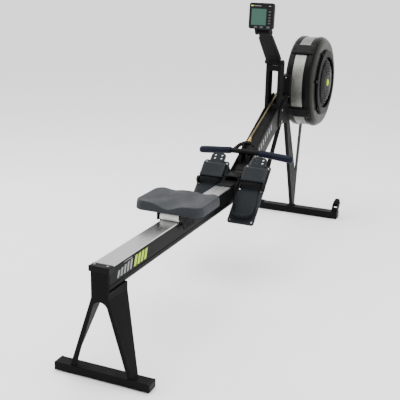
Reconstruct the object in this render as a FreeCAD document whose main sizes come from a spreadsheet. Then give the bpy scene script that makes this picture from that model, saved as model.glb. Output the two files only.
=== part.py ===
"""Indoor rowing machine, modelled as separate pieces.

+X points from the rower's rear foot to the flywheel, +Y to the rower's left, +Z up.
The origin is on the floor, under the middle of the machine.
"""
import FreeCAD, Part

import math
import os

import Sketcher

DOC = FreeCAD.newDocument("rowing_machine")
SHEET = DOC.addObject("Spreadsheet::Sheet", "Dims")

# Driving dimensions, millimetres and degrees. Stations along the machine (the names that
# end in Pos) are measured forward from the rear face of the rear foot.
DIMENSIONS = {
    "totalLength": 2438,
    "footWidth": 590,
    "rearFootWidth": 392,
    "rearFootDepth": 52,
    "rearFootTop": 36,
    "frontFootPos": 2208,
    "frontFootDepth": 56,
    "frontFootTop": 42,
    "padHeight": 4,
    "barWall": 3,
    "capLength": 8,
    "legPlate": 4,
    "rearLegPos": 6,
    "rearLegHalf": 35,
    "rearLegSpread": 126,
    "rearLegWaist": 300,
    "beamStart": 14,
    "beamEnd": 1296,
    "beamHalf": 35,
    "beamBottom": 346,
    "beamTop": 436,
    "beamSeam": 372,
    "beamWall": 4,
    "trackStart": 36,
    "trackEnd": 1127,
    "trackHalf": 37.3,
    "trackTop": 441,
    "trackLip": 6.5,
    "frameHalf": 40,
    "framePlate": 5,
    "frameFoot": 1180,
    "frameKnee": 1312,
    "frameKneeTop": 474,
    "frameEnd": 1936,
    "frameSlope": 0.4934,
    "frameDepth": 105,
    "channelDepth": 24,
    "coverThick": 8,
    "hoodStart": 1232,
    "hoodTop": 470,
    "postPos": 1790,
    "postDepth": 62,
    "postHalf": 41,
    "postSide": 17,
    "postTop": 958,
    "armPivotTop": 948,
    "wheelPos": 2188,
    "wheelTop": 807,
    "wheelRadius": 250,
    "bandRadius": 246,
    "drumLeft": -12,
    "bandLeft": -55,
    "bandRight": -125.5,
    "drumRight": -170,
    "shellWall": 3,
    "axleRadius": 10,
    "sprocketRadius": 26,
    "headStart": 1936,
    "headEnd": 2246,
    "headRight": -11,
    "headLeft": 15,
    "grilleRadius": 140,
    "damperRadius": 182,
    "seatPos": 636,
    "seatDepth": 232,
    "seatWidth": 305,
    "seatBottom": 479,
    "seatTop": 521,
    "rollerRadius": 16,
    "rollerSpan": 84,
    "carriageHalf": 52,
    "handlePos": 1410,
    "handleHeight": 548,
    "handleTilt": 40,
    "handleWidth": 494,
    "gripRadius": 18.5,
    "gripDrop": 4.65,
    "boardAngle": 43.7,
    "boardPos": 1078,
    "boardHeight": 288,
    "boardLength": 325,
    "boardWidth": 131,
    "boardOffset": 106.5,
    "boardThick": 5,
    "armAngle": -48.5,
    "armLength": 256.5,
    "armHalf": 40,
    "armThick": 18,
    "monitorPos": 1578,
    "monitorHeight": 1195.5,
    "monitorTilt": 4,
    "monitorHalf": 63,
    "monitorRise": 62.5,
    "casterRadius": 25,
    "casterPos": 2284,
    "casterOffset": 274,
    "casterHeight": 82,
}


class Size:
    """A number together with the sheet formula that gives it."""

    def __init__(self, value, formula):
        self.value = float(value)
        self.formula = formula

    def __add__(self, other):
        other = size(other)
        return Size(self.value + other.value, f"({self.formula} + {other.formula})")

    def __sub__(self, other):
        other = size(other)
        return Size(self.value - other.value, f"({self.formula} - {other.formula})")

    def __mul__(self, other):
        other = size(other)
        return Size(self.value * other.value, f"({self.formula} * {other.formula})")

    def __truediv__(self, other):
        other = size(other)
        return Size(self.value / other.value, f"({self.formula} / {other.formula})")

    def __neg__(self):
        return Size(-self.value, f"(0 - {self.formula})")

    def __radd__(self, other):
        return size(other) + self

    def __rsub__(self, other):
        return size(other) - self

    def __rmul__(self, other):
        return size(other) * self


def size(value):
    """Return the value as a Size."""
    if isinstance(value, Size):
        return value
    return Size(value, f"({float(value):.6f})")


def dim(name):
    """Return a driving dimension from the sheet."""
    return Size(DIMENSIONS[name], f"Dims.{name}")


def station(value):
    """Return the X of a station measured forward from the rear foot."""
    return size(value) - dim("totalLength") / 2


def fill_sheet():
    """Write the driving dimensions into the sheet."""
    for row, (name, value) in enumerate(DIMENSIONS.items(), start=1):
        SHEET.set(f"A{row}", name)
        SHEET.set(f"B{row}", f"{value}")
        SHEET.setAlias(f"B{row}", name)
    DOC.recompute()


def bind(item, prop, value):
    """Drive a property with a Size."""
    item.setExpression(prop, size(value).formula)


def place(item, x=0, y=0, z=0, axis=None, angle=0):
    """Put an object at a position, turned about an axis by an angle in degrees."""
    turn = FreeCAD.Rotation(FreeCAD.Vector(*(axis or (0, 0, 1))), size(angle).value)
    base = FreeCAD.Vector(size(x).value, size(y).value, size(z).value)
    item.Placement = FreeCAD.Placement(base, turn)
    bind(item, "Placement.Base.x", x)
    bind(item, "Placement.Base.y", y)
    bind(item, "Placement.Base.z", z)


class Piece:
    """A PartDesign body whose sketches and features are driven by the sheet."""

    def __init__(self, label):
        self.body = DOC.addObject("PartDesign::Body", label)
        self.body.Label = label
        self.count = 0

    def sketch(self, plane, offset, loops=(), circles=()):
        """Draw closed polygons and circles on a plane, a distance along its normal."""
        self.count += 1
        drawing = self.body.newObject("Sketcher::SketchObject", f"{self.body.Name}_s{self.count}")
        role = f"{plane}_Plane"
        origin = [f for f in self.body.Origin.OriginFeatures if f.Role == role][0]
        drawing.AttachmentSupport = [(origin, "")]
        drawing.MapMode = "FlatFace"
        drawing.AttachmentOffset = FreeCAD.Placement(
            FreeCAD.Vector(0, 0, size(offset).value), FreeCAD.Rotation()
        )
        bind(drawing, "AttachmentOffset.Base.z", offset)
        for loop in loops:
            self.draw_loop(drawing, loop)
        for centre, radius in circles:
            self.draw_circle(drawing, centre, radius)
        return drawing

    def draw_loop(self, drawing, loop):
        """Draw one polygon with every corner driven by the sheet."""
        points = [(size(u), size(v)) for u, v in loop]
        first = drawing.GeometryCount
        total = len(points)
        for index, (u, v) in enumerate(points):
            u2, v2 = points[(index + 1) % total]
            start = FreeCAD.Vector(u.value, v.value, 0)
            end = FreeCAD.Vector(u2.value, v2.value, 0)
            drawing.addGeometry(Part.LineSegment(start, end), False)
        for index, (u, v) in enumerate(points):
            line = first + index
            following = first + (index + 1) % total
            drawing.addConstraint(Sketcher.Constraint("Coincident", line, 2, following, 1))
            self.fix_point(drawing, line, 1, u, v)

    def draw_circle(self, drawing, centre, radius):
        """Draw one circle driven by the sheet."""
        u, v = size(centre[0]), size(centre[1])
        radius = size(radius)
        circle = Part.Circle(
            FreeCAD.Vector(u.value, v.value, 0), FreeCAD.Vector(0, 0, 1), radius.value
        )
        index = drawing.addGeometry(circle, False)
        rule = drawing.addConstraint(Sketcher.Constraint("Radius", index, radius.value))
        drawing.setExpression(f"Constraints[{rule}]", radius.formula)
        self.fix_point(drawing, index, 3, u, v)

    def fix_point(self, drawing, geometry, point, u, v):
        """Hold a point at a distance from the sketch origin."""
        for kind, value in (("DistanceX", u), ("DistanceY", v)):
            rule = drawing.addConstraint(
                Sketcher.Constraint(kind, -1, 1, geometry, point, value.value)
            )
            drawing.setExpression(f"Constraints[{rule}]", value.formula)

    def feature(self, kind, drawing):
        """Add a feature that is made from one sketch."""
        self.count += 1
        item = self.body.newObject(f"PartDesign::{kind}", f"{self.body.Name}_f{self.count}")
        item.Profile = drawing
        drawing.Visibility = False
        return item

    def pad(self, plane, offset, length, loops=(), circles=()):
        """Add material along the plane's normal."""
        item = self.feature("Pad", self.sketch(plane, offset, loops, circles))
        item.Length = size(length).value
        bind(item, "Length", length)
        return item

    def pocket(self, plane, offset, length, loops=(), circles=()):
        """Take material away along the plane's normal."""
        DOC.recompute()
        before = self.body.Shape.Volume
        item = self.feature("Pocket", self.sketch(plane, offset, loops, circles))
        item.Length = size(length).value
        item.Reversed = True
        bind(item, "Length", length)
        DOC.recompute()
        if self.body.Shape.Volume > before - 1:
            raise ValueError(f"{self.body.Label}: a pocket cuts nothing")
        return item

    def revolve(self, plane, loops, axis="V_Axis"):
        """Turn a section about one of the sketch's own axes."""
        drawing = self.sketch(plane, 0, loops)
        item = self.feature("Revolution", drawing)
        item.ReferenceAxis = (drawing, [axis])
        item.Angle = 360
        return item

    def loft(self, *sections):
        """Join sections, each a height and a polygon, into one solid."""
        drawings = [self.sketch("XY", height, [loop]) for height, loop in sections]
        item = self.feature("AdditiveLoft", drawings[0])
        item.Sections = drawings[1:]
        item.Ruled = True
        return item

    def polar(self, feature, axis, copies):
        """Repeat a feature round one of the body's own axes."""
        DOC.recompute()
        self.count += 1
        item = self.body.newObject("PartDesign::PolarPattern", f"{self.body.Name}_f{self.count}")
        item.Originals = [feature]
        role = f"{axis}_Axis"
        origin = [f for f in self.body.Origin.OriginFeatures if f.Role == role][0]
        item.Axis = (origin, [""])
        item.Angle = 360
        item.Occurrences = copies
        self.body.Tip = item
        return item

    def smooth(self, kind, radius, choose):
        """Round or bevel the chosen edges of the piece so far."""
        DOC.recompute()
        tip = self.body.Tip
        names = [f"Edge{n}" for n, e in enumerate(tip.Shape.Edges, start=1) if choose(e)]
        if not names:
            raise ValueError(f"{self.body.Label}: no edges to smooth")
        self.count += 1
        item = self.body.newObject(f"PartDesign::{kind}", f"{self.body.Name}_f{self.count}")
        item.Base = (tip, names)
        if kind == "Fillet":
            bind(item, "Radius", radius)
        else:
            bind(item, "Size", radius)
        DOC.recompute()
        return item


def along(axis):
    """Choose the straight edges that run along an axis."""
    index = "XYZ".index(axis)

    def choose(edge):
        if edge.Curve.TypeId != "Part::GeomLine":
            return False
        return abs(abs(edge.Curve.Direction[index]) - 1) < 1e-6

    return choose


def at_height(axis, level):
    """Choose the edges that lie in a plane square to an axis."""
    index = "XYZ".index(axis)

    def choose(edge):
        return all(abs(vertex.Point[index] - level) < 1e-4 for vertex in edge.Vertexes)

    return choose


def rectangle(u0, v0, u1, v1):
    """Return the corners of a rectangle."""
    return [(u0, v0), (u1, v0), (u1, v1), (u0, v1)]


def mirrored(loop):
    """Return a section and its mirror image joined into one polygon."""
    return loop + [(-size(u), v) for u, v in reversed(loop)]


def box(label, x0, x1, y0, y1, z0, z1):
    """Make a plain block between two corners."""
    item = DOC.addObject("Part::Box", label)
    item.Label = label
    bind(item, "Length", size(x1) - size(x0))
    bind(item, "Width", size(y1) - size(y0))
    bind(item, "Height", size(z1) - size(z0))
    place(item, x0, y0, z0)
    return item


TURNS = {"X": ((0, 1, 0), 90), "Y": ((1, 0, 0), -90), "Z": ((0, 0, 1), 0)}


def rod(label, axis, radius, length, x, y, z):
    """Make a round bar that starts at a point and runs along an axis."""
    item = DOC.addObject("Part::Cylinder", label)
    item.Label = label
    bind(item, "Radius", radius)
    bind(item, "Height", length)
    turn_axis, angle = TURNS[axis]
    place(item, x, y, z, turn_axis, angle)
    return item


def hexagon(label, axis, radius, length, x, y, z):
    """Make a hexagonal bolt head."""
    item = DOC.addObject("Part::Prism", label)
    item.Label = label
    item.Polygon = 6
    bind(item, "Circumradius", radius)
    bind(item, "Height", length)
    turn_axis, angle = TURNS[axis]
    place(item, x, y, z, turn_axis, angle)
    return item


def cut(label, base, tool):
    """Take one solid away from another."""
    item = DOC.addObject("Part::Cut", label)
    item.Label = label
    item.Base = base
    item.Tool = tool
    return item


def fuse(label, *parts):
    """Join overlapping solids into one."""
    item = DOC.addObject("Part::MultiFuse", label)
    item.Label = label
    item.Shapes = list(parts)
    return item


def group(label, parts):
    """Keep identical separate solids together as one sub-part."""
    item = DOC.addObject("Part::Compound", label)
    item.Label = label
    item.Links = list(parts)
    return item


def bevel(label, base, radius, choose):
    """Round chosen edges of a Part object."""
    DOC.recompute()
    item = DOC.addObject("Part::Fillet", label)
    item.Label = label
    item.Base = base
    edges = [n for n, e in enumerate(base.Shape.Edges, start=1) if choose(e)]
    item.Edges = [(n, size(radius).value, size(radius).value) for n in edges]
    return item


def cross_bar(label, x0, depth, half, z0, z1):
    """Make a hollow floor bar that lies across the machine, its long edges rounded."""
    piece = Piece(label)
    wall = dim("barWall")
    rear = station(x0)
    front = station(size(x0) + depth)
    piece.pad("XZ", -half, half * 2, [rectangle(rear, z0, front, z1)])
    piece.smooth("Fillet", 3, along("Y"))
    room = rectangle(rear + wall, z0 + wall, front - wall, z1 - wall)
    piece.pocket("XZ", -half - 1, half * 2 + 2, [room])
    return piece.body


def floor_bars():
    """The rear and front floor bars with their end caps and rubber feet."""
    cap = dim("capLength")
    pad = dim("padHeight")
    rear_half = dim("rearFootWidth") / 2
    front_half = dim("footWidth") / 2
    bars = [
        ("rear_foot_bar", 0, dim("rearFootDepth"), rear_half, dim("rearFootTop")),
        ("front_foot_bar", dim("frontFootPos"), dim("frontFootDepth"), front_half,
         dim("frontFootTop")),
    ]
    caps = []
    pads = []
    out = []
    for name, start, depth, half, top in bars:
        out.append(cross_bar(name, start, depth, half - cap, pad, top))
        for side, sign in (("left", 1), ("right", -1)):
            inner = (half - cap) * sign
            outer = half * sign
            low, high = (inner, outer) if sign > 0 else (outer, inner)
            block = box(f"{name}_cap_{side}", station(start), station(size(start) + depth),
                        low, high, pad, top)
            level = outer.value
            caps.append(bevel(f"{name}_cap_{side}_round", block, 4, at_height("Y", level)))
            mid = (half - 60) * sign
            pads.append(box(f"{name}_pad_{side}", station(size(start) + 6),
                            station(size(start) + depth - 6), mid - 30, mid + 30, 0, pad))
    out.append(group("foot_end_caps", caps))
    out.append(group("foot_pads", pads))
    return out


def angle_section(inner, outer, reach, flare, sign):
    """Return the L-shaped section of one rear leg at one height."""
    back = station(dim("rearLegPos"))
    thick = dim("legPlate")
    front = back + reach
    return [
        (back, inner * sign),
        (back, outer * sign),
        (front, (outer + flare) * sign),
        (front, (outer + flare - thick) * sign),
        (back + thick, (outer - thick) * sign),
        (back + thick, inner * sign),
    ]


def rear_leg():
    """The folded sheet leg: a head plate that splits round an arch into two splayed legs."""
    piece = Piece("rear_leg")
    thick = dim("legPlate")
    half = dim("rearLegHalf")
    waist = dim("rearLegWaist")
    foot = dim("rearFootTop")
    spread = dim("rearLegSpread")
    under = dim("beamBottom")
    back = station(dim("rearLegPos"))
    fold = waist + 20
    face = [
        (size(1), waist + 8), (size(12), waist + 5), (size(21), waist - 1), (size(28), waist - 10),
        (spread - 20, foot), (spread + 2, foot), (half, fold), (half, dim("beamTop") - 16),
    ]
    piece.pad("YZ", back, thick, [mirrored(face)])
    piece.pad("XY", under - thick, thick, [rectangle(back, -half, back + 132, half)])
    for sign in (1, -1):
        piece.loft(
            (foot, angle_section(spread - 19, spread + 2, 34, 4, sign)),
            (fold, angle_section(size(21), half, 121, 8, sign)),
        )
        piece.loft(
            (fold - 0.5, angle_section(size(21), half, 121, 8, sign)),
            (under, angle_section(half - 8, half, 132, 2, sign)),
        )
    return [piece.body]


def monorail():
    """The hollow aluminium beam, its stainless running track and its rear end cap."""
    half = dim("beamHalf")
    low = dim("beamBottom")
    top = dim("beamTop")
    seam = dim("beamSeam")
    wall = dim("beamWall")
    beam = Piece("monorail_beam")
    outside = [
        (half - 12, low), (half - 4, low + 3), (half, low + 12), (half, seam - 3),
        (half - 1.5, seam - 2), (half - 1.5, seam), (half, seam + 1), (half, top),
    ]
    inside = rectangle(-half + wall, seam + wall, half - wall, top - wall)
    lower = rectangle(-half + wall + 6, low + wall, half - wall - 6, seam - wall)
    start = dim("beamStart")
    beam.pad("YZ", station(start), dim("beamEnd") - start, [mirrored(outside), inside, lower])

    track = Piece("seat_track")
    edge = dim("trackHalf")
    crown = dim("trackTop")
    shell = [(edge, crown), (edge, crown - dim("trackLip")), (half, crown - dim("trackLip")),
             (half, top)]
    start = dim("trackStart")
    length = dim("trackEnd") - start
    track.pad("YZ", station(start), length, [mirrored(shell)])
    track.smooth("Fillet", 1.2, lambda e: along("X")(e) and abs(e.Vertexes[0].Z - crown.value) < 0.01)

    block = box("end_cap_block", station(2), station(dim("trackStart")), -41, 41, top - 16, crown)
    room = box("end_cap_room", station(dim("rearLegPos")), station(60), -half, half, top - 40, top)
    hollow = cut("end_cap_hollow", block, room)
    cap = bevel("rail_end_cap", hollow, 2.5, at_height("Z", crown.value))
    return [beam.body, track.body, cap]


def panel_screws():
    """Small domed screws in the rail's end cap and the two footboards."""
    screws = []
    crown = dim("trackTop")
    for side, offset in (("left", 26), ("right", -26)):
        name = f"end_cap_screw_{side}"
        screws.append(rod(name, "Z", 4.5, 2, station(19), offset, crown))
    angle = math.radians(DIMENSIONS["boardAngle"])
    for side, sign in (("left", 1), ("right", -1)):
        for row, travel in enumerate((14, 182, 311)):
            for column, across in enumerate((-53.5, 53.5)):
                screw = rod(f"board_screw_{side}_{row}_{column}", "Z", 4, 2, 0, 0, 0)
                x = station(dim("boardPos")) + travel * math.cos(angle)
                z = dim("boardHeight") + travel * math.sin(angle)
                y = dim("boardOffset") * sign + across
                place(screw, x, y, z, (0, 1, 0), -DIMENSIONS["boardAngle"])
                screws.append(screw)
    return [group("panel_screws", screws)]


def slope_top(pos):
    """Height of the frame's upper edge above a station."""
    return dim("frameKneeTop") + (size(pos) - dim("frameKnee")) * dim("frameSlope")


def main_frame():
    """The inclined frame: an open channel above, a closed box below, cheeks on the rail."""
    piece = Piece("main_frame")
    half = dim("frameHalf")
    inner = half - dim("framePlate")
    end = dim("frameEnd")
    foot = dim("frameFoot")
    drop = dim("frameDepth")
    low = dim("beamBottom")
    trench = dim("channelDepth")

    def spot(pos, height):
        return (station(pos), height)

    outline = [
        spot(foot, low + 4), spot(1328, low + 4), spot(1394, slope_top(1394) - drop),
        spot(end, slope_top(end) - drop), spot(end, slope_top(end - 30)),
        spot(end - 30, slope_top(end - 30)), spot(dim("frameKnee"), dim("frameKneeTop")),
        spot(1292, 471), spot(1240, 470), spot(1228, 446), spot(foot, 434),
    ]
    piece.pad("XZ", -half, half * 2, [outline])
    beam_end = dim("beamEnd")
    nest = [spot(foot - 10, low - 10), spot(beam_end, low - 10), spot(beam_end, 1000),
            spot(foot - 10, 1000)]
    piece.pocket("XZ", -inner, inner * 2, [nest])
    channel = [
        spot(beam_end - 1, slope_top(beam_end - 1) - trench),
        spot(end + 5, slope_top(end + 5) - trench), spot(end + 5, 1200), spot(beam_end - 1, 1200),
    ]
    piece.pocket("XZ", -inner, inner * 2, [channel])
    hollow = [
        spot(1304, low + 8), spot(1327, low + 8), spot(1394, slope_top(1394) - drop + 5),
        spot(end - 6, slope_top(end - 6) - drop + 4), spot(end - 6, slope_top(end - 6) - trench - 4),
        spot(1304, slope_top(1304) - trench - 4),
    ]
    piece.pocket("XZ", -inner, inner * 2, [hollow])
    return [piece.body]


def front_rail_cover():
    """The flat cover in front of the track and the raised hood with its open mouth."""
    piece = Piece("front_rail_cover")
    half = dim("beamHalf") - 0.2
    base = dim("beamTop")
    start = station(dim("trackEnd"))
    hood = station(dim("hoodStart"))
    end = station(1310)
    thick = dim("coverThick")
    crown = dim("hoodTop")
    piece.pad("XZ", -half, half * 2, [rectangle(start, base, station(dim("beamEnd")), base + thick)])
    shape = [(hood, base + thick - 1), (end - 16, base + thick - 1), (end - 16, crown + 1),
             (hood + 6, crown), (hood, crown - 5)]
    piece.pad("XZ", -half, half * 2, [shape])
    mouth = mirrored([
        (half - 7, base + thick), (half - 8, base + thick + 6), (size(18), crown - 9.5),
        (size(1), crown - 7),
    ])
    piece.pocket("YZ", hood - 1, 50, [mouth])
    return [piece.body]


def post_and_liner():
    """The open monitor post and the channel liner with its handle saddle and chain guide."""
    half = dim("postHalf")
    pos = dim("postPos")
    depth = dim("postDepth")
    top = dim("postTop")
    post = Piece("monitor_post")
    side = [
        (station(pos), slope_top(pos)), (station(pos + depth), slope_top(pos + depth)),
        (station(pos + depth), top - 14), (station(pos + depth - 14), top),
        (station(pos + 10), top), (station(pos), top - 10),
    ]
    post.pad("XZ", -half, half * 2, [side])
    window = half - dim("postSide")
    post.pocket("YZ", station(pos) - 5, depth + 10, [rectangle(-window, 726, window, 903)])
    post.pocket("YZ", station(pos) - 5, depth + 10, [rectangle(-window, 931, window, top + 5)])
    post.smooth("Fillet", 3, along("X"))

    liner = Piece("channel_liner")
    floor = dim("channelDepth")
    wide = dim("frameHalf") - dim("framePlate") - 0.5

    def spot(x, height):
        return (station(x), height)

    def bed(x, rise=0):
        return spot(x, slope_top(x) - floor + rise)

    liner.pad("XZ", -wide, wide * 2, [[bed(1345), bed(1925), bed(1925, 3), bed(1345, 3)]])
    guide = [bed(1856), bed(1904), spot(1904, 774.5), spot(1880, 769), spot(1862, 760),
             spot(1856, 753)]
    liner.pad("XZ", -14, 28, [guide])
    saddle = [bed(1384), bed(1446), spot(1450, 553), spot(1436, 553), spot(1427, 540),
             spot(1420, 534.4), spot(1402, 534.4), spot(1392, 531)]
    for start in (12, -30):
        liner.pad("XZ", -(size(start) + 18), 18, [saddle])
    return [post.body, liner.body]


def flywheel_head():
    """The black box beside the drum that carries the axle and hides the sprocket."""
    piece = Piece("flywheel_head")
    right = dim("headRight")
    left = dim("headLeft")
    start = station(dim("headStart"))
    end = station(dim("headEnd"))
    wheel = station(dim("wheelPos"))
    axis = dim("wheelTop")
    outline = [
        (start, 690), (start + 14, 676), (end - 40, 700), (end, 740), (end, 840),
        (end - 16, 862), (wheel - 40, 862), (start + 20, 858), (start, 838),
    ]
    piece.pad("XZ", -left, left - right, [outline])
    room = [
        (start + 6, 700), (start + 20, 690), (end - 44, 710), (end - 8, 746), (end - 8, 834),
        (end - 22, 852), (wheel - 40, 852), (start + 24, 850), (start + 6, 832),
    ]
    piece.pocket("XZ", -(left - 5), left - right - 10, [room])
    flange = [
        (size(-56), size(744)), (size(-41.5), size(744)), (size(-41.5), size(769)),
        (size(8), size(769)), (size(8), size(868)), (size(-56), size(868)),
    ]
    piece.pad("YZ", start - 24, 25, [flange])
    piece.smooth("Fillet", 9, lambda e: along("X")(e) and abs(e.Vertexes[0].Y + 56) < 0.01)
    piece.pocket("YZ", start - 19, 19, [rectangle(-51, 778, -12, 862)])
    piece.pocket("YZ", start - 25, 36, [rectangle(-5.5, 771, 5.5, 822)])
    bore = dim("axleRadius") + 7
    piece.pocket("XZ", -left - 1, left - right + 2, circles=[((wheel, axis), bore)])
    return [piece.body]


def turned(label, profile, x, z):
    """Make a round piece about an axis along Y from radius and Y pairs."""
    piece = Piece(label)
    piece.revolve("XY", [profile])
    place(piece.body, x, 0, z)
    return piece


def drum():
    """The flywheel housing: two black shells and the silver band between them."""
    x = station(dim("wheelPos"))
    z = dim("wheelTop")
    radius = dim("wheelRadius")
    band = dim("bandRadius")
    wall = dim("shellWall")
    left = dim("drumLeft")
    right = dim("drumRight")
    band_left = dim("bandLeft")
    band_right = dim("bandRight")
    bore = dim("axleRadius") + 7

    left_shell = turned("flywheel_shell_left", [
        (bore, left), (radius - 24, left), (radius - 8, left - 6), (radius, left - 18),
        (radius, band_left + 4), (band, band_left), (band - wall, band_left),
        (radius - wall - 2, band_left + 3), (radius - wall, left - 19),
        (radius - 10, left - 9), (radius - 25, left - wall), (bore, left - wall),
    ], x, z)

    hole = dim("grilleRadius") + 2
    right_shell = turned("flywheel_shell_right", [
        (band, band_right), (radius, band_right - 4), (radius, band_right - 12),
        (radius - 4, band_right - 24), (radius - 11, band_right - 34),
        (radius - 20, right + 2.5), (radius - 30, right), (hole, right), (hole, right + wall),
        (radius - 31, right + wall), (radius - 22, right + wall + 2),
        (radius - 14, band_right - 32), (radius - 7, band_right - 22),
        (radius - wall, band_right - 11), (radius - wall, band_right - 5),
        (band - wall, band_right),
    ], x, z)

    silver = turned("flywheel_band", [
        (band, band_left), (band, band_right), (band - wall, band_right),
        (band - wall, band_left),
    ], x, z)

    return [left_shell.body, right_shell.body, silver.body]


def drum_straps():
    """Broad black bars across the silver band, each with two round bosses."""
    x = station(dim("wheelPos"))
    z = dim("wheelTop")
    rim = dim("wheelRadius")
    left = dim("bandLeft") + 24
    right = dim("bandRight") - 22
    bars = []
    for name, degrees in (("upper", 130), ("lower", 216), ("front_high", 40), ("front_low", 320)):
        piece = Piece(f"strap_{name}")
        inner = rim + 0.3
        shape = [
            (inner - 2.6, -34), (inner + 2, -33), (inner + 5.5, -26), (inner + 6, 0),
            (inner + 5.5, 26), (inner + 2, 33), (inner - 2.6, 34), (inner - 0.8, 20), (inner, 0),
            (inner - 0.8, -20),
        ]
        piece.pad("XZ", -left, left - right, [shape])
        for y in (left - 9, right + 9):
            piece.pad("YZ", inner + 1, 7, circles=[((y, 0), 7)])
        piece.smooth("Fillet", 1.5, at_height("X", (inner + 8).value))
        place(piece.body, x, 0, z, (0, 1, 0), -degrees)
        bars.append(piece.body)
    return [group("band_straps", bars)]


def flywheel():
    """The spinning fan with its axle, sprocket and bearings."""
    x = station(dim("wheelPos"))
    z = dim("wheelTop")
    bore = dim("axleRadius")
    fan = Piece("flywheel_fan")
    fan.revolve("XY", [[
        (bore, -60), (40, -60), (40, -84), (212, -86), (212, -94), (40, -96), (40, -120),
        (bore, -120),
    ]])
    vane = fan.pad("XZ", 64, 54, [rectangle(150, -1.5, 236, 1.5)])
    fan.polar(vane, "Y", 24)
    place(fan.body, x, 0, z)

    axle = rod("flywheel_axle", "Y", bore, dim("headLeft") + 4 - dim("drumRight") + 10, x,
               dim("drumRight") - 10, z)

    sprocket = Piece("chain_sprocket")
    rim = dim("sprocketRadius")
    sprocket.pad("XZ", -3, 6, circles=[((0, 0), rim), ((0, 0), bore)])
    flank = [(rim - 4, -5), (rim + 4, -1.5), (rim + 4, 1.5), (rim - 4, 5)]
    tooth = sprocket.pad("XZ", -2.5, 5, [flank])
    sprocket.polar(tooth, "Y", 13)
    place(sprocket.body, x, 0, z)

    outer = bore + 7
    rings = []
    spots = (("left", dim("headLeft") - 5, 5), ("middle", dim("headRight"), 5))
    for side, start, length in spots:
        ring = rod(f"bearing_{side}_ring", "Y", outer, length, x, start, z)
        eye = rod(f"bearing_{side}_eye", "Y", bore + 0.05, size(length) + 2, x, start - 1, z)
        rings.append(cut(f"bearing_{side}", ring, eye))
    return [fan.body, axle, sprocket.body, group("axle_bearings", rings)]


def arc_slot(radius, middle, spread, depth):
    """Return a short curved slot about an axis, its angles in degrees."""
    corners = ((-1, 0), (0, 0), (1, 0), (1, 1), (0, 1), (-1, 1))
    points = []
    for side, out in corners:
        angle = math.radians(middle + side * spread)
        reach = radius + depth * out
        points.append((reach * math.cos(angle), reach * math.sin(angle)))
    return points


def intake():
    """The perforated intake cover, the turning damper ring and the lime hub cap."""
    x = station(dim("wheelPos"))
    z = dim("wheelTop")
    right = dim("drumRight")
    grille = Piece("intake_grille")
    edge = dim("grilleRadius")
    outer = right
    grille.revolve("XY", [[
        (19, outer - 22), (60, outer - 21), (110, outer - 15), (edge, outer - 2),
        (edge, outer + 3), (edge - 4, outer + 3), (110, outer - 12), (60, outer - 18),
        (19, outer - 19),
    ]])
    for middle in (60, 80, 100, 120, 240, 260, 280, 300):
        grille.pocket("XZ", 150, 60, [arc_slot(48 + 14 * row, middle, 8, 5) for row in range(6)])
    place(grille.body, x, 0, z)

    ring = Piece("damper_ring")
    reach = dim("damperRadius")
    ring.revolve("XY", [[
        (edge + 1, outer - 0.4), (reach, outer - 0.4), (reach, outer - 8), (reach - 6, outer - 14),
        (edge + 8, outer - 16), (edge + 1, outer - 12),
    ]])
    lever = [(-reach - 22, -5), (-reach + 4, -9), (-reach + 4, 9), (-reach - 22, 5)]
    ring.pad("XZ", -outer + 1, 11, [lever])
    for middle in (128, 232, 308, 52):
        ring.pad("XZ", -outer + 1, 9, [arc_slot(reach - 6, middle, 3, 16)])
    place(ring.body, x, 0, z, (0, 1, 0), 8)

    cap = turned("hub_cap", [
        (0, outer - 26), (12, outer - 26), (19, outer - 22), (19, outer - 15), (0, outer - 15),
    ], x, z)
    return [grille.body, ring.body, cap.body]


def front_legs():
    """The V-shaped plate leg that leans to the frame's right cheek, and the left leg."""
    top = dim("frontFootTop")
    vee = Piece("front_leg_plate")

    def spot(pos, height):
        return (station(pos), size(height) - top)

    outline = [
        spot(2214, 42), spot(2253, 42), spot(2240, 300), spot(2244, 561.5), spot(2221, 558),
        spot(2198, 556), spot(2199, 262), spot(1991, 600), spot(1955, 657), spot(1936, 690),
        spot(1905, 706), spot(1905, 763), spot(1790, 706), spot(1790, 606), spot(1862, 618),
        spot(1926, 612),
    ]
    vee.pad("XZ", 0, 5, [outline])
    flange = [spot(2214, 42), spot(2218, 42), spot(1930, 612), spot(1926, 612)]
    vee.pad("XZ", -14, 19, [flange])
    lip = [spot(2240, 300), spot(2236.5, 300), spot(2240.5, 540), spot(2244, 540)]
    vee.pad("XZ", -8, 12, [lip])
    place(vee.body, 0, -14.3, top + 0.3, (1, 0, 0), 2.58)
    shoe = box("front_leg_shoe", station(2210), station(2260), -24, 14, top, top + 5)
    right_leg = fuse("front_leg_right", vee.body, shoe)

    strip = Piece("front_leg_left")
    rear = station(2226)
    front = station(2262)
    lean = 0.2176
    high = 826
    foot = dim("headLeft") + (size(high) - top) * lean

    def leg_section(y):
        return [(rear, y), (rear, size(y) + 26), (front, size(y) + 26), (front, size(y) + 22),
                (rear + 4, size(y) + 22), (rear + 4, y)]

    strip.loft((top, leg_section(foot)), (size(high), leg_section(dim("headLeft"))))
    strip.pad("XY", top, 5, [rectangle(rear - 4, foot - 14, front - 4, foot + 36)])
    return [right_leg, strip.body]


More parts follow.
